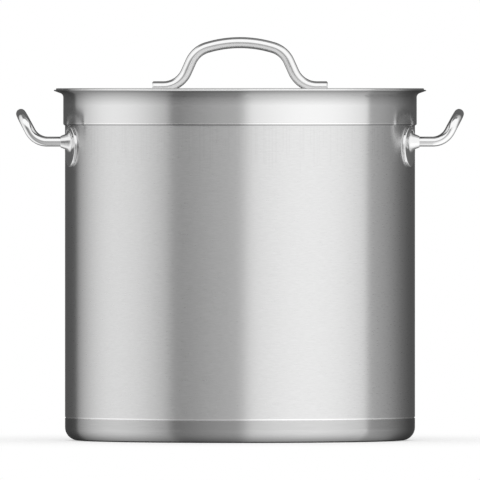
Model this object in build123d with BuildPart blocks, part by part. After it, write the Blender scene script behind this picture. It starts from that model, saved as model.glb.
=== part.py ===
from build123d import *
import os
from math import cos, radians, sin, sqrt, tan

# A 36 cm catering stock pot: a deep-drawn stainless steel shell on a sandwich base, with two
# side handles welded on through cast pads, and a lift-off lid with a bow handle.
# Millimetres, +Z up, origin at the centre of the face that the pot stands on. The side
# handles point along +X and -X, and the pot is seen from the front along +Y.

# ---- Pot shell ----
body_radius = 180.0  # outside of the satin wall
pot_height = 360.5  # top of the pouring lip
shell_sheet = 1.0
belt_height = 36.8  # the polished belt, from the top of the lip down
belt_step = 1.8  # how far the belt stands proud of the wall below it
belt_shoulder = 1.2  # height of the shoulder under the belt
wall_bend = 1.2  # radii of the small bends in the wall
lip_reach = 9.8  # from the belt to the tip of the lip
lip_angle = 20.0  # rise of the lip above the horizontal, in degrees
lip_bend = 4.5  # radius under the lip
shell_corner = 14.0  # radius between the floor and the wall

# ---- Sandwich base ----
cap_sheet = 0.8
cap_height = 22.9  # the seam between the base cap and the wall
cap_corner = 13.5
core_thickness = 6.0
core_edge = 4.0  # radius of the core disc's lower edge
joggle_rise = 1.2  # height in which the wall steps in to make room for the cap
seam_gap = 0.25
bond_gap = 0.1  # between the layers of the base

# ---- Lid ----
lid_inset = 2.2  # from the tip of the lip in to the edge of the lid
lid_sheet = 1.0
lid_seat_gap = 0.3  # between the lid's flange and the lip
hem_thickness = 2.4  # the lid's folded edge
hem_width = 7.0
lid_fit = 2.0  # between the lid's skirt and the inside of the belt
skirt_depth = 11.0  # from the top of the lip down to the underside of the lid's channel
skirt_bend = 3.5
channel_width = 8.0
channel_slope = 4.0  # sideways run of the channel's inner wall
channel_bend = 2.0
panel_drop = 2.3  # from the top of the lip down to the lid's flat panel

# ---- Rods of the handles ----
rod_diameter = 10.0  # of the two side handles
bow_rod_diameter = 11.4  # of the lid handle

# ---- Lid handle, a bow with two feet on the panel ----
bow_length = 180.4
bow_height = 56.5  # from the panel to the top of the bow
bow_shoulders = 91.0  # between the corners of the two shoulders
crown_angle = 16.0  # slope of the crown at the shoulders, in degrees
crown_straight = 1.5  # between the crown's arc and each shoulder's bend
shoulder_radius = 26.0
bow_leg_angle = 66.0  # slope of the legs, in degrees
foot_radius = 26.0
foot_flat = 0.4  # ground off under each foot
foot_chamfer = 1.2
foot_gap = 0.05

# ---- Side handles ----
leg_spacing = 98.0
elbow_reach = 30.0  # from the wall's widest point out to the corner of the elbow
elbow_radius = 20.0
grip_angle = 62.0  # rise of the grip above the horizontal, in degrees
grip_length = 32.5  # from the corner of the elbow to the middle of the grip
grip_corner = 15.0
grip_bow_angle = 10.5  # slope of the bowed grip at its corners, in degrees
grip_straight = 2.0  # between the grip's arc and the bend of each corner

# ---- Pads between the side handles and the wall ----
pad_width = 38.0
pad_height = 41.8
pad_drop = 4.9  # centre of the pad below the rod
pad_below_belt = 0.5  # between the top of a pad and the belt
pad_thickness = 2.6
pad_edge = 1.2
neck_length = 11.0  # from the wall to the end of the neck, on the rod's axis
neck_wall = 0.8  # around the rod at the end of the neck
neck_slope = 22.0  # taper of the neck's side, in degrees
neck_root = 6.0  # radius where the neck meets the pad
neck_edge = 0.4
socket_floor = 1.5  # metal left between the end of the rod and the wall
socket_gap = 0.08
weld_gap = 0.1  # between the back of a pad and the wall

# ---- Sizes that follow ----
belt_radius = body_radius + belt_step
belt_bottom = pot_height - belt_height
lip_radius = belt_radius + lip_reach
lip_rise = tan(radians(lip_angle))
lip_tilt = cos(radians(lip_angle))
seat_radius = body_radius - cap_sheet - bond_gap
floor_underside = cap_sheet + core_thickness
panel_top = pot_height - panel_drop
lid_radius = lip_radius - lid_inset
skirt_radius = belt_radius - shell_sheet - lid_fit
rod_radius = rod_diameter / 2
bow_rod_radius = bow_rod_diameter / 2
socket_radius = rod_radius + socket_gap
neck_radius = socket_radius + neck_wall
leg_offset = leg_spacing / 2
leg_height = belt_bottom - pad_below_belt - pad_height / 2 + pad_drop


def keep(piece, name):
    """Label a finished piece and write its file."""
    piece.part.label = name
    export_step(piece.part, f"parts/{name}.step")


def wall_reach(radius, across):
    """How far out along X a round wall is, at a distance across from the X axis."""
    return sqrt(radius**2 - across**2)


def bend_run(radius, turn):
    """Length of rod that a bend takes from each of the two straights it joins. turn is in degrees."""
    return radius * tan(radians(turn / 2))


def arc_between(chord, bend, slope, straight):
    """Radius of the arc over a peak, whose sides slope alike and are as long as chord.

    Each side also gives up a bend's run and a short straight.
    """
    return (chord - bend - straight) / tan(radians(slope))


def lip_top(radius):
    """Height of the lip's upper face, a cone, at a radius."""
    return pot_height - (lip_radius - radius) * lip_rise


def lip_underside(radius):
    return lip_top(radius) - shell_sheet / lip_tilt


def lid_underside(radius):
    """Height of the underside of the lid's flange, which lies along the lip, at a radius."""
    return lip_top(radius) + lid_seat_gap / lip_tilt


os.makedirs("parts", exist_ok=True)

# ---- Pot shell: one drawn sheet, from the floor out to the lip ----
shell_outside = [
    (0, floor_underside),
    (seat_radius, floor_underside),
    (seat_radius, cap_height + seam_gap),
    (body_radius, cap_height + seam_gap + joggle_rise),
    (body_radius, belt_bottom),
    (belt_radius, belt_bottom + belt_shoulder),
    (belt_radius, lip_underside(belt_radius)),
    (lip_radius, lip_underside(lip_radius)),
]
shell_bends = [shell_corner, wall_bend, wall_bend, wall_bend, wall_bend, lip_bend]

with BuildPart() as pot_shell:
    with BuildSketch(Plane.XZ):
        with BuildLine():
            outside = FilletPolyline(*shell_outside, radius=shell_bends)
            offset(outside, shell_sheet, side=Side.LEFT)
        make_face()
    revolve(axis=Axis.Z)

keep(pot_shell, "pot_shell")

# ---- Base: an aluminium disc closed in by a steel cap ----
with BuildPart() as base_core:
    with BuildSketch(Plane.XY.offset(cap_sheet + bond_gap)):
        Circle(body_radius - cap_corner + core_edge)
    extrude(amount=core_thickness - 2 * bond_gap)
    fillet(base_core.edges().group_by(Axis.Z)[0], radius=core_edge)

keep(base_core, "base_core")

with BuildPart() as base_cap:
    with BuildSketch(Plane.XZ):
        with BuildLine():
            cap_outside = FilletPolyline(
                (0, 0), (body_radius, 0), (body_radius, cap_height), radius=cap_corner
            )
            offset(cap_outside, cap_sheet, side=Side.LEFT)
        make_face()
    revolve(axis=Axis.Z)

keep(base_cap, "base_cap")

# ---- Lid: flat panel, locating channel inside the mouth, flange along the lip, folded edge ----
hem_radius = hem_thickness / 2
hem_tip = lid_radius - hem_radius  # centre of the hem's rounded edge
flange_end = hem_tip + hem_radius * sin(radians(lip_angle))
hem_height = lid_underside(flange_end) + hem_radius * lip_tilt
hem_back = (hem_width - hem_thickness) / 2  # from the hem's middle to the centre of its edge
channel_underside = pot_height - skirt_depth
channel_inside = skirt_radius - channel_width

lid_below = [
    (0, panel_top - lid_sheet),
    (channel_inside - channel_slope, panel_top - lid_sheet),
    (channel_inside, channel_underside),
    (skirt_radius, channel_underside),
    (skirt_radius, lid_underside(skirt_radius)),
    (flange_end, lid_underside(flange_end)),
]

with BuildPart() as lid:
    with BuildSketch(Plane.XZ):
        with BuildLine():
            below = FilletPolyline(
                *lid_below, radius=[channel_bend, channel_bend, channel_bend, skirt_bend]
            )
            offset(below, lid_sheet, side=Side.LEFT)
        make_face()
        with Locations((hem_tip - hem_back * lip_tilt, hem_height - hem_back * lip_tilt * lip_rise)):
            SlotOverall(hem_width, hem_thickness, rotation=lip_angle)
    revolve(axis=Axis.Z)

keep(lid, "lid")

# ---- Lid handle: one bent rod, its feet ground flat where they are welded to the panel ----
foot_axis = panel_top + foot_gap + bow_rod_radius - foot_flat
shoulder = bow_shoulders / 2
crown_radius = arc_between(
    shoulder / cos(radians(crown_angle)),
    bend_run(shoulder_radius, bow_leg_angle - crown_angle),
    crown_angle,
    crown_straight,
)
crown_corner = panel_top + bow_height - bow_rod_radius + crown_radius * (1 / cos(radians(crown_angle)) - 1)
shoulder_height = crown_corner - shoulder * tan(radians(crown_angle))
foot_corner = shoulder + (shoulder_height - foot_axis) / tan(radians(bow_leg_angle))

bow_corners = [
    (-bow_length / 2, foot_axis),
    (-foot_corner, foot_axis),
    (-shoulder, shoulder_height),
    (0, crown_corner),
    (shoulder, shoulder_height),
    (foot_corner, foot_axis),
    (bow_length / 2, foot_axis),
]
bow_bends = [foot_radius, shoulder_radius, crown_radius, shoulder_radius, foot_radius]

with BuildPart() as lid_handle:
    with BuildLine(Plane.XZ) as bow:
        FilletPolyline(*bow_corners, radius=bow_bends)
    with BuildSketch(Plane(bow.line @ 0, z_dir=bow.line % 0)):
        Circle(bow_rod_radius)
    sweep()
    foot_ends = lid_handle.faces().sort_by(Axis.X)
    chamfer([foot_ends[0].edges(), foot_ends[-1].edges()], length=foot_chamfer)
    split(bisect_by=Plane.XY.offset(panel_top + foot_gap), keep=Keep.TOP)

keep(lid_handle, "lid_handle")


# ---- Side handles and their pads ----
neck_start = wall_reach(body_radius, leg_offset)
neck_end = neck_start + neck_length
socket_end = wall_reach(body_radius + weld_gap, leg_offset - socket_radius) + socket_floor


def make_side_handle(side):
    """A rod bent into a loop: out from two pads, up at the elbows and across in a bowed grip.

    side is 1 for the handle on the right and -1 for the one on the left.
    """
    rise = radians(grip_angle)
    slope = radians(grip_bow_angle)
    elbow = side * (body_radius + elbow_reach)
    leg_start = side * (socket_end + socket_gap)
    grip = Plane((elbow, 0, leg_height), x_dir=(0, 1, 0), z_dir=(sin(rise), 0, -side * cos(rise)))
    grip_bow_radius = arc_between(
        leg_offset / cos(slope), bend_run(grip_corner, 90 - grip_bow_angle), grip_bow_angle, grip_straight
    )
    grip_peak = grip_length + grip_bow_radius * (1 / cos(slope) - 1)
    grip_side = grip_peak - leg_offset * tan(slope)
    bend_corners = [
        (-leg_offset, 0, 0),
        (-leg_offset, grip_side, 0),
        (0, grip_peak, 0),
        (leg_offset, grip_side, 0),
        (leg_offset, 0, 0),
    ]
    loop_bends = [elbow_radius, grip_corner, grip_bow_radius, grip_corner, elbow_radius]

    with BuildPart() as handle:
        with BuildLine() as loop:
            FilletPolyline(
                (leg_start, -leg_offset, leg_height),
                *[grip.from_local_coords(corner) for corner in bend_corners],
                (leg_start, leg_offset, leg_height),
                radius=loop_bends,
            )
        with BuildSketch(Plane(loop.line @ 0, z_dir=loop.line % 0)):
            Circle(rod_radius)
        sweep()
    return handle


def make_pad(side, end):
    """A cast pad, curved to the wall, whose neck holds one end of a side handle.

    side is as for the handle, and end is -1 for the front leg and 1 for the rear one.
    """
    leg = Plane((0, end * leg_offset, leg_height), x_dir=(0, side, 0), z_dir=(side, 0, 0))
    neck_base = neck_radius + 2 * neck_length * tan(radians(neck_slope))
    shallow_side = neck_end - wall_reach(body_radius + pad_thickness, leg_offset - neck_radius)

    with BuildPart() as pad:
        with BuildSketch(leg):
            with Locations((0, -pad_drop)):
                Ellipse(pad_width / 2, pad_height / 2)
        extrude(amount=neck_end)
        with Locations((0, 0, leg_height)):
            Cylinder(body_radius + pad_thickness, 2 * pad_height, mode=Mode.INTERSECT)
        fillet(pad.faces().filter_by(GeomType.CYLINDER).edges(), radius=pad_edge)

        with BuildSketch(leg.offset(neck_start - neck_length)):
            Circle(neck_base)
        extrude(amount=2 * neck_length, taper=neck_slope)
        neck_edges = pad.edges(Select.LAST)
        fillet(neck_edges.filter_by(GeomType.BSPLINE), radius=min(neck_root, 0.8 * shallow_side))
        fillet(neck_edges.filter_by(GeomType.CIRCLE), radius=neck_edge)

        with Locations((0, 0, leg_height)):
            Cylinder(body_radius + weld_gap, 2 * pad_height, mode=Mode.SUBTRACT)
        with Locations(leg.offset(neck_end)):
            Hole(socket_radius, depth=neck_end - socket_end)
    return pad


for side, side_name in [(-1, "left"), (1, "right")]:
    keep(make_side_handle(side), f"{side_name}_handle")
    for end, end_name in [(-1, "front"), (1, "rear")]:
        keep(make_pad(side, end), f"{side_name}_{end_name}_pad")
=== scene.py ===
"""A stainless steel stock pot on a white table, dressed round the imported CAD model. Metres, +Z up."""

import math

import bmesh
import bpy
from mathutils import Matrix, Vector


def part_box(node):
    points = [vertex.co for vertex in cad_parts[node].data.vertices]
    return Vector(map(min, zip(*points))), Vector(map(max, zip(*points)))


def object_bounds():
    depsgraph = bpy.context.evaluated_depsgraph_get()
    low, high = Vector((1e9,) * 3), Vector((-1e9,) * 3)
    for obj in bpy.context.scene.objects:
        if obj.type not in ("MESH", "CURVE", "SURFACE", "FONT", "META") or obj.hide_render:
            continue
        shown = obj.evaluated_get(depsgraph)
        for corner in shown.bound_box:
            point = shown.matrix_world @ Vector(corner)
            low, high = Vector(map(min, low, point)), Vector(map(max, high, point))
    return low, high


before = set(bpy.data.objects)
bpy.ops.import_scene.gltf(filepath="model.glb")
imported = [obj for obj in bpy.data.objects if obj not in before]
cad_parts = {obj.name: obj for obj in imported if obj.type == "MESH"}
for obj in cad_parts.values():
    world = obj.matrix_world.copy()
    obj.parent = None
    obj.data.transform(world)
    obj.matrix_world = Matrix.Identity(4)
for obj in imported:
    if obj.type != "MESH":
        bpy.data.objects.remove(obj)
cad_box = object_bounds()

# ---- Camera ----
LENS = 1600.0  # a very long lens: the upright walls and the base show almost no perspective
SENSOR = 36.0
VIEW_WIDTH = 0.4937  # how much the frame takes in at the pot's axis
VIEW_CENTRE = 0.2060  # height at the middle of the frame
CAMERA_HEIGHT = 0.37  # level with the lid, which shows edge-on

# ---- Stage ----
FLOOR_RADIUS = 3.0
SHADOW_RADIUS = 0.55  # where the floor's shading has faded to plain white
SHADOW_CORE = 0.165  # where it starts to fade
SHADOW_FADE = 0.45  # how much of the shadow is lost next to the pot
DOME_RADIUS = 6.0
DOME_CENTRE = 0.2
CEILING_START, CEILING_FULL = 6, 24  # where the softbox in front starts, in degrees above the horizon
CEILING_END, CEILING_BLEND = 74, 6
OVERHEAD_LIGHT = 0.22
OVERHEAD_START, OVERHEAD_FULL = 50, 65
LOW_LIFT = 0.15  # light that the white floor adds below the horizon
LOW_START, LOW_FULL = -6, -22
SIDE_CARD_LIGHT = 0.28  # a card above and below the horizon on the right
CARD_START, CARD_END = (84, 93), (118, 135)  # its soft ends, round the pot
CARD_GAP = (7, 20)  # it fades in over these degrees away from the horizon
CONTACT_RADIUS = 0.174  # a dark sheet that stands for the shade under the pot, as the base's corner sees it
CONTACT_LIGHT = 0.10
CONTACT_DROP = 0.0002  # how far it lies under the floor's surface
CEILING_LIGHT = 1.15

# The lights that stand round the pot. Angles are in degrees from the camera's side, positive towards +X.
# Each softbox has its two ends, how soft each end is, its brightness and how fast that falls off from its
# middle. The flag between the boxes is dark cloth, and so is all that lies behind the pot.
CLOTH_LIGHT = 0.13
LEFT_BOX = {"ends": (-135, -46), "softness": (3, 7), "light": 0.85, "falloff": 1.6}
RIGHT_BOX = {"ends": (3, 92), "softness": (12, 4), "light": 0.75, "falloff": 1.2}
SPILL_LIGHT, SPILL_REACH = 0.28, 60  # what the right box lights beside itself, fading over so many degrees

# ---- Lines, marks, painted highlights and painted shade on the pot ----
BELT_BLEND = 0.0008  # the height over which satin turns into the polished belt
BELT_HIGHLIGHT_LINE, SEAM_HIGHLIGHT_LINE = 0.0030, 0.0020  # painted highlight lines along the foot of the belt and of the wall
CREASE_LOW, CREASE_HIGH, CREASE_BLEND = -0.0003, 0.0015, 0.0005  # the painted shade line at the belt's step
MARK_LENGTH, MARK_FADE = 0.07, 0.004  # drawing marks below the belt
RIM_POLISHED, RIM_SATIN = 0.0035, 0.0050  # the lid's folded edge, in from its rim
WALL_EDGE, BASE_EDGE = 0.70, 0.50  # how bright the metal stays where it turns away
LIP_SHADE_DEPTH = 0.016  # how far below the lip's top the painted shade reaches on the belt
CORNER_SHADE = 0.30  # painted shade: how much of its colour the base keeps at its lowest edge
CORNER_LOW, CORNER_HIGH = -0.001, 0.012  # the heights between which that painted shade fades out


# ---- Node helpers ----
def sine(degrees):
    return math.sin(math.radians(degrees))


def add(tree, kind, inputs=None, **settings):
    """Add a node. inputs maps socket names or numbers to values or to other nodes' outputs."""
    node = tree.nodes.new(kind)
    for name, value in settings.items():
        setattr(node, name, value)
    for name, value in (inputs or {}).items():
        if isinstance(value, bpy.types.NodeSocket):
            tree.links.new(value, node.inputs[name])
        else:
            node.inputs[name].default_value = value
    return node


def calc(tree, operation, *values):
    return add(tree, "ShaderNodeMath", dict(enumerate(values)), operation=operation).outputs[0]


def remap(tree, value, low, high, to_low=0.0, to_high=1.0):
    """Ease value from the range low..high to to_low..to_high, clamped."""
    node = add(
        tree,
        "ShaderNodeMapRange",
        {"Value": value, "From Min": low, "From Max": high, "To Min": to_low, "To Max": to_high},
        interpolation_type="SMOOTHSTEP",
    )
    return node.outputs["Result"]


def mix_colour(tree, factor, first, second):
    node = add(tree, "ShaderNodeMix", data_type="RGBA")
    factor_socket, first_socket, second_socket = node.inputs[0], node.inputs[6], node.inputs[7]
    for socket, value in ((factor_socket, factor), (first_socket, first), (second_socket, second)):
        if isinstance(value, bpy.types.NodeSocket):
            tree.links.new(value, socket)
        else:
            socket.default_value = value
    return node.outputs[2]


def grey(level, warmth=0.0):
    return (level * (1 + warmth), level, level * (1 - warmth), 1.0)


def new_material(name):
    material = bpy.data.materials.new(name)
    material.use_nodes = True
    material.node_tree.nodes.clear()
    return material, material.node_tree


def around_axis(tree):
    """Height, distance from the axis, and the outward direction of the shaded point, as sockets."""
    place = add(tree, "ShaderNodeTexCoord").outputs["Object"]
    parts = add(tree, "ShaderNodeSeparateXYZ", {0: place}).outputs
    flat = add(tree, "ShaderNodeCombineXYZ", {"X": parts["X"], "Y": parts["Y"]}).outputs[0]
    radius = add(tree, "ShaderNodeVectorMath", {0: flat}, operation="LENGTH").outputs["Value"]
    outward = add(tree, "ShaderNodeVectorMath", {0: flat}, operation="NORMALIZE").outputs["Vector"]
    return parts["Z"], radius, outward, place


def hairlines(tree, lines_per_metre, streaks_round, detail=3.0):
    """Noise drawn out round the axis, as a turned or ring-brushed finish is."""
    height, radius, outward, _ = around_axis(tree)
    along = add(tree, "ShaderNodeVectorMath", {0: outward, 3: streaks_round}, operation="SCALE")
    across = calc(tree, "MULTIPLY", calc(tree, "ADD", height, radius), lines_per_metre)
    lift = add(tree, "ShaderNodeCombineXYZ", {"Z": across}).outputs[0]
    place = add(tree, "ShaderNodeVectorMath", {0: along.outputs[0], 1: lift}, operation="ADD")
    noise = add(tree, "ShaderNodeTexNoise", {"Vector": place.outputs[0], "Scale": 1.0, "Detail": detail})
    return noise.outputs["Fac"]


def upright_normal(tree, share):
    """The surface's normal, leaned by share to the level outward direction where it faces down.

    Such a bend then shows the light of the wall beside it, as a soft polished edge does.
    """
    normal = add(tree, "ShaderNodeNewGeometry").outputs["Normal"]
    _, _, outward, _ = around_axis(tree)
    rise = add(tree, "ShaderNodeSeparateXYZ", {0: normal}).outputs["Z"]
    down = remap(tree, rise, -0.02, -0.25, 0.0, share)
    lean = add(tree, "ShaderNodeVectorMath", {0: outward, 3: down}, operation="SCALE").outputs[0]
    kept = calc(tree, "SUBTRACT", 1.0, down)
    rest = add(tree, "ShaderNodeVectorMath", {0: normal, 3: kept}, operation="SCALE").outputs[0]
    both = add(tree, "ShaderNodeVectorMath", {0: lean, 1: rest}, operation="ADD").outputs[0]
    return add(tree, "ShaderNodeVectorMath", {0: both}, operation="NORMALIZE").outputs[0]


def steel(tree, colour, roughness, anisotropy, height=None, bump=0.0, reach=0.0001, edge=1.0, normal=None):
    """A metal shader. The grain runs round the axis where anisotropy is set.

    edge is how bright the metal stays where it turns away.
    """
    inputs = {
        "Metallic": 1.0,
        "Base Color": colour,
        "Roughness": roughness,
        "Anisotropic": anisotropy,
        "Anisotropic Rotation": 0.25,
        "Specular Tint": grey(edge),
    }
    if normal is not None:
        inputs["Normal"] = normal
    if anisotropy:
        tangent = add(tree, "ShaderNodeTangent", direction_type="RADIAL", axis="Z")
        inputs["Tangent"] = tangent.outputs[0]
    if height is not None:
        relief = {"Strength": bump, "Distance": reach, "Height": height}
        if normal is not None:
            relief["Normal"] = normal
        inputs["Normal"] = add(tree, "ShaderNodeBump", relief).outputs[0]
    shader = add(tree, "ShaderNodeBsdfPrincipled", inputs)
    add(tree, "ShaderNodeOutputMaterial", {"Surface": shader.outputs[0]})


# ---- Materials ----
def drawing_marks(tree, height, outward, top):
    """Faint upright marks that the press leaves below the belt, each with a length of its own."""
    place = add(tree, "ShaderNodeVectorMath", {0: outward, 3: 9.0}, operation="SCALE").outputs[0]
    lengths = add(tree, "ShaderNodeTexNoise", {"Vector": place, "Scale": 3.0, "Detail": 1.0}).outputs["Fac"]
    marks = add(tree, "ShaderNodeTexNoise", {"Vector": place, "Scale": 9.0, "Detail": 2.0}).outputs["Fac"]
    end = calc(tree, "SUBTRACT", top, calc(tree, "MULTIPLY", lengths, MARK_LENGTH))
    fade = remap(tree, calc(tree, "SUBTRACT", height, end), 0.0, MARK_FADE)
    return calc(tree, "MULTIPLY", fade, remap(tree, marks, 0.35, 0.65, -1.0, 1.0))


def foot_line(tree, height, foot, line):
    """The mask of a painted highlight line: 1 in a line of that height above foot, 0 above it."""
    return remap(tree, height, foot + line, foot + 0.6 * line)


def satin_colour(tree, height, outward, fine, belt_bottom, wall_bottom):
    satin = mix_colour(tree, remap(tree, fine, 0.25, 0.75), grey(0.68), grey(0.73))
    marks = drawing_marks(tree, height, outward, belt_bottom)
    satin = mix_colour(tree, calc(tree, "MULTIPLY", marks, 0.12), satin, grey(0.50))
    # painted highlight: a bright line along the wall's foot, above the base
    return mix_colour(tree, foot_line(tree, height, wall_bottom, SEAM_HIGHLIGHT_LINE), satin, grey(0.95))


def belt_colour(tree, height, belt, belt_bottom, lip_top):
    """Polished steel with a painted highlight line at its foot, and painted shade below the lip except where
    it faces up.
    """
    # painted highlight: a bright line along the belt's foot
    line = calc(tree, "MULTIPLY", belt, foot_line(tree, height, belt_bottom, BELT_HIGHLIGHT_LINE))
    polished = mix_colour(tree, line, grey(0.80), grey(0.95))
    # painted shade: the belt darkens towards the lip's top, except where it faces up
    depth = calc(tree, "DIVIDE", calc(tree, "SUBTRACT", lip_top, height), LIP_SHADE_DEPTH)
    shade = calc(tree, "MINIMUM", calc(tree, "SQRT", calc(tree, "MAXIMUM", depth, 0.0)), 1.0)
    normal = add(tree, "ShaderNodeNewGeometry").outputs["Normal"]
    rise = add(tree, "ShaderNodeSeparateXYZ", {0: normal}).outputs["Z"]
    shade = mix_colour(tree, remap(tree, rise, 0.1, 0.5), shade, grey(1.0))
    return add(tree, "ShaderNodeVectorMath", {0: polished, 1: shade}, operation="MULTIPLY").outputs[0]


def wall_steel(belt_bottom, wall_bottom, lip_top):
    """Satin wall, brushed round the pot, with a brighter polished belt, painted shade below the lip, a
    painted shade line at the belt's step and painted highlight lines at the feet of belt and wall.
    """
    material, tree = new_material("wall_steel")
    height, _, outward, _ = around_axis(tree)
    belt = remap(tree, height, belt_bottom, belt_bottom + BELT_BLEND)
    fine = hairlines(tree, 1600.0, 30.0, 2.0)
    rough = calc(tree, "ADD", 0.29, calc(tree, "MULTIPLY", calc(tree, "SUBTRACT", fine, 0.5), 0.08))
    rough = calc(tree, "SUBTRACT", rough, calc(tree, "MULTIPLY", belt, 0.09))
    satin = satin_colour(tree, height, outward, fine, belt_bottom, wall_bottom)
    polished = belt_colour(tree, height, belt, belt_bottom, lip_top)
    # painted shade: a dark line along the belt's step
    low, high = belt_bottom + CREASE_LOW, belt_bottom + CREASE_HIGH
    crease_shade = calc(
        tree,
        "MULTIPLY",
        remap(tree, height, low, low + CREASE_BLEND, 0.0, 0.8),
        remap(tree, height, high, high - CREASE_BLEND),
    )
    colour = mix_colour(tree, crease_shade, mix_colour(tree, belt, satin, polished), grey(0.28))
    relief = {"height": fine, "bump": 0.05, "reach": 0.00002, "normal": upright_normal(tree, 0.8)}
    steel(tree, colour, rough, anisotropy=0.86, edge=WALL_EDGE, **relief)
    return material


def base_steel():
    material, tree = new_material("base_steel")
    height, _, _, _ = around_axis(tree)
    fine = hairlines(tree, 1200.0, 8.0)
    colour = mix_colour(tree, remap(tree, fine, 0.3, 0.7), grey(0.56), grey(0.59))
    # painted shade: the base's colour darkens towards its lowest edge
    shade = remap(tree, height, CORNER_LOW, CORNER_HIGH, CORNER_SHADE, 1.0)
    colour = add(tree, "ShaderNodeVectorMath", {0: colour, 1: shade}, operation="MULTIPLY").outputs[0]
    relief = {"height": fine, "bump": 0.02, "reach": 0.00002, "normal": upright_normal(tree, 0.7)}
    steel(tree, colour, 0.22, anisotropy=0.8, edge=BASE_EDGE, **relief)
    return material


def lid_steel(rim):
    """Satin rings, with the folded edge polished. rim is the lid's radius."""
    material, tree = new_material("lid_steel")
    _, radius, _, _ = around_axis(tree)
    fine = hairlines(tree, 900.0, 6.0)
    polish = remap(tree, radius, rim - RIM_SATIN, rim - RIM_POLISHED)
    satin = mix_colour(tree, remap(tree, fine, 0.3, 0.7), grey(0.68), grey(0.75))
    colour = mix_colour(tree, polish, satin, grey(0.88))
    rough = calc(tree, "SUBTRACT", 0.26, calc(tree, "MULTIPLY", polish, 0.14))
    steel(tree, colour, rough, anisotropy=0.7, height=fine, bump=0.06, reach=0.00003)
    return material


def rod_steel():
    material, tree = new_material("rod_steel")
    place = add(tree, "ShaderNodeTexCoord").outputs["Object"]
    haze = add(tree, "ShaderNodeTexNoise", {"Vector": place, "Scale": 240.0, "Detail": 4.0}).outputs["Fac"]
    rough = remap(tree, haze, 0.3, 0.7, 0.06, 0.13)
    colour = mix_colour(tree, haze, grey(0.80), grey(0.86))
    steel(tree, colour, rough, anisotropy=0.0, height=haze, bump=0.03, reach=0.0001)
    return material


def cast_steel():
    material, tree = new_material("cast_steel")
    place = add(tree, "ShaderNodeTexCoord").outputs["Object"]
    waves = add(tree, "ShaderNodeTexNoise", {"Vector": place, "Scale": 130.0, "Detail": 2.0}).outputs["Fac"]
    rough = remap(tree, waves, 0.3, 0.7, 0.08, 0.16)
    colour = mix_colour(tree, waves, grey(0.74), grey(0.82))
    steel(tree, colour, rough, anisotropy=0.0, height=waves, bump=0.25, reach=0.0008)
    return material


def core_aluminium():
    material, tree = new_material("core_aluminium")
    fine = hairlines(tree, 500.0, 4.0)
    colour = mix_colour(tree, fine, grey(0.76), grey(0.84))
    steel(tree, colour, 0.35, anisotropy=0.4)
    return material


def dress(node, material):
    """Put one material on a CAD node in place of its own."""
    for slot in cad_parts[node].material_slots:
        slot.material = material


def belt_step():
    """The height where the wall's outside steps out to the belt, read from the shell."""
    corners = [v.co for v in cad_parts["pot_shell"].data.vertices]
    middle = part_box("pot_shell")[1].z / 2
    wall = max(corner.xy.length for corner in corners if corner.z < middle)
    return min(corner.z for corner in corners if corner.z > middle and corner.xy.length > wall + 0.0005)


def dress_all():
    rods, pads = rod_steel(), cast_steel()
    shell_top, cap_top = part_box("pot_shell")[1].z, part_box("base_cap")[1].z
    dress("pot_shell", wall_steel(belt_step(), cap_top, shell_top))
    dress("base_cap", base_steel())
    dress("base_core", core_aluminium())
    dress("lid", lid_steel(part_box("lid")[1].x))
    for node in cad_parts:
        if node.endswith("handle"):
            dress(node, rods)
        if node.endswith("pad"):
            dress(node, pads)


# ---- Stage ----
def stage_object(name, fill, material):
    """A piece of the studio, made by fill(bmesh), which isn't part of the pot."""
    mesh = bpy.data.meshes.new(name)
    build = bmesh.new()
    fill(build)
    build.to_mesh(mesh)
    build.free()
    mesh.materials.append(material)
    thing = bpy.data.objects.new(name, mesh)
    bpy.context.scene.collection.objects.link(thing)
    return thing


def seen_by_metal_only(thing):
    """Flags and softboxes show in polished steel, and stay out of the picture and off the floor."""
    thing.visible_camera = False
    thing.visible_diffuse = False
    thing.visible_shadow = False
    thing.visible_transmission = False
    thing.visible_volume_scatter = False


def floor_material():
    """White paper. It keeps the pot's shadow close to the pot and fades to plain white."""
    material, tree = new_material("white_paper")
    _, radius, _, place = around_axis(tree)
    fibres = add(tree, "ShaderNodeTexNoise", {"Vector": place, "Scale": 400.0}).outputs["Fac"]
    paper = add(
        tree,
        "ShaderNodeBsdfDiffuse",
        {"Color": mix_colour(tree, fibres, grey(0.97), grey(0.99))},
    )
    plain = add(tree, "ShaderNodeEmission", {"Color": grey(1.0), "Strength": 1.0})
    far = remap(tree, radius, SHADOW_CORE, SHADOW_RADIUS, SHADOW_FADE, 1.0)
    both = add(tree, "ShaderNodeMixShader", {0: far, 1: paper.outputs[0], 2: plain.outputs[0]})
    add(tree, "ShaderNodeOutputMaterial", {"Surface": both.outputs[0]})
    return material


def softbox(tree, turn, ends, softness, light, falloff):
    """The light of one box by turn round the pot, brightest in its middle."""
    start, end = ends
    opening = remap(tree, turn, start - softness[0] / 2, start + softness[0] / 2)
    closing = remap(tree, turn, end + softness[1] / 2, end - softness[1] / 2)
    away = calc(tree, "SUBTRACT", turn, (start + end) / 2)
    share = calc(tree, "COSINE", calc(tree, "RADIANS", calc(tree, "MULTIPLY", away, falloff)))
    box = calc(tree, "MULTIPLY", opening, closing)
    return calc(tree, "MULTIPLY", box, calc(tree, "MULTIPLY", share, light))


def spill(tree, turn, ends):
    """What a box lights beside itself, by turn round the pot."""
    away = calc(tree, "ABSOLUTE", calc(tree, "SUBTRACT", turn, sum(ends) / 2))
    outside = calc(tree, "SUBTRACT", away, (ends[1] - ends[0]) / 2)
    return remap(tree, outside, SPILL_REACH, 0, 0.0, SPILL_LIGHT)


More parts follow.
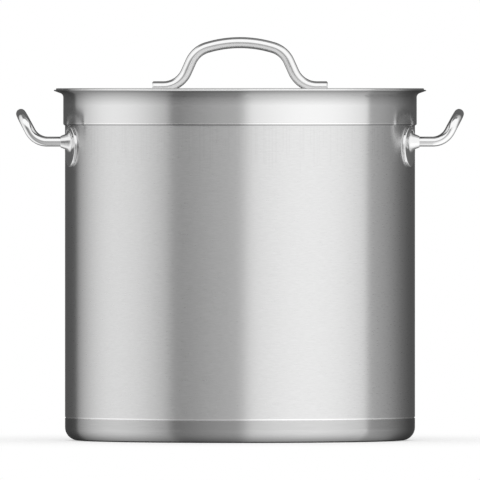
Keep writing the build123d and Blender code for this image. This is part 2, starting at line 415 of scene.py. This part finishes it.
def studio_material():
    """The studio as polished steel sees it: bands of light all round and a bright ceiling in front."""
    material, tree = new_material("studio_walls")
    place = add(tree, "ShaderNodeTexCoord").outputs["Object"]
    parts = add(tree, "ShaderNodeSeparateXYZ", {0: place}).outputs
    front, rise = calc(tree, "MULTIPLY", parts["Y"], -1.0), calc(tree, "DIVIDE", parts["Z"], DOME_RADIUS)
    turn = calc(tree, "DEGREES", calc(tree, "ARCTAN2", parts["X"], front))
    boxes = calc(tree, "ADD", softbox(tree, turn, **LEFT_BOX), softbox(tree, turn, **RIGHT_BOX))
    beside = calc(tree, "ADD", spill(tree, turn, RIGHT_BOX["ends"]), CLOTH_LIGHT)
    walls = calc(tree, "ADD", boxes, beside)
    ahead = calc(tree, "DIVIDE", front, DOME_RADIUS)
    overhead = remap(tree, rise, sine(OVERHEAD_START), sine(OVERHEAD_FULL))
    light = mix_colour(tree, overhead, walls, grey(OVERHEAD_LIGHT))
    above = remap(tree, rise, sine(CEILING_START), sine(CEILING_FULL))
    before = remap(tree, ahead, sine(90 - CEILING_END - CEILING_BLEND), sine(90 - CEILING_END))
    light = mix_colour(tree, calc(tree, "MULTIPLY", above, before), light, grey(CEILING_LIGHT))
    low = calc(tree, "MULTIPLY", remap(tree, rise, sine(LOW_START), sine(LOW_FULL)), LOW_LIFT)
    starts, ends = remap(tree, turn, *CARD_START), remap(tree, turn, *reversed(CARD_END))
    card = calc(tree, "MULTIPLY", starts, ends)
    off_level = remap(tree, calc(tree, "ABSOLUTE", rise), sine(CARD_GAP[0]), sine(CARD_GAP[1]))
    card = calc(tree, "MULTIPLY", card, calc(tree, "MULTIPLY", off_level, SIDE_CARD_LIGHT))
    more = add(tree, "ShaderNodeCombineXYZ", dict.fromkeys("XYZ", calc(tree, "ADD", low, card))).outputs[0]
    light = add(tree, "ShaderNodeVectorMath", {0: light, 1: more}, operation="ADD").outputs[0]
    glow = add(tree, "ShaderNodeEmission", {"Color": light, "Strength": 1.0})
    add(tree, "ShaderNodeOutputMaterial", {"Surface": glow.outputs[0]})
    return material


def contact_shade_material():
    """A dark sheet that stands for the shade under the pot, which the base's lower corner reflects."""
    material, tree = new_material("contact_shade_sheet")
    glow = add(tree, "ShaderNodeEmission", {"Color": grey(CONTACT_LIGHT), "Strength": 1.0})
    add(tree, "ShaderNodeOutputMaterial", {"Surface": glow.outputs[0]})
    return material


def disc(radius, height, steps=128):
    """A function that fills a bmesh with a flat disc."""

    def fill(build):
        turns = [2 * math.pi * step / steps for step in range(steps)]
        rim = [build.verts.new((radius * math.cos(turn), radius * math.sin(turn), height)) for turn in turns]
        build.faces.new(rim)

    return fill


def build_studio():
    floor_height = cad_box[0].z
    floor = stage_object("floor", disc(FLOOR_RADIUS, floor_height), floor_material())
    floor.visible_glossy = False
    # a dark sheet for the shade under the pot, seen only in the metal
    under = disc(CONTACT_RADIUS, floor_height - CONTACT_DROP)
    contact = stage_object("contact_shade_sheet", under, contact_shade_material())
    dome = stage_object(
        "studio_walls",
        lambda build: bmesh.ops.create_uvsphere(build, u_segments=96, v_segments=48, radius=DOME_RADIUS),
        studio_material(),
    )
    dome.location.z = DOME_CENTRE
    for thing in (contact, dome):
        seen_by_metal_only(thing)

    world = bpy.data.worlds.new("white_room")
    world.use_nodes = True
    world.node_tree.nodes.clear()
    backdrop = add(world.node_tree, "ShaderNodeBackground", {"Color": grey(1.0), "Strength": 1.0})
    add(world.node_tree, "ShaderNodeOutputWorld", {"Surface": backdrop.outputs[0]})
    bpy.context.scene.world = world


def place_camera():
    camera_data = bpy.data.cameras.new("camera")
    camera_data.lens = LENS
    camera_data.sensor_width = SENSOR
    distance = VIEW_WIDTH * LENS / SENSOR
    camera_data.clip_start, camera_data.clip_end = 1.0, 2 * distance
    camera = bpy.data.objects.new("camera", camera_data)
    camera.location = (0, -distance, CAMERA_HEIGHT)
    aim = Vector((0, 0, VIEW_CENTRE)) - camera.location
    camera.rotation_euler = aim.to_track_quat("-Z", "Y").to_euler()
    bpy.context.scene.collection.objects.link(camera)
    bpy.context.scene.camera = camera


dress_all()
build_studio()
place_camera()
bpy.context.scene.view_settings.view_transform = "Standard"
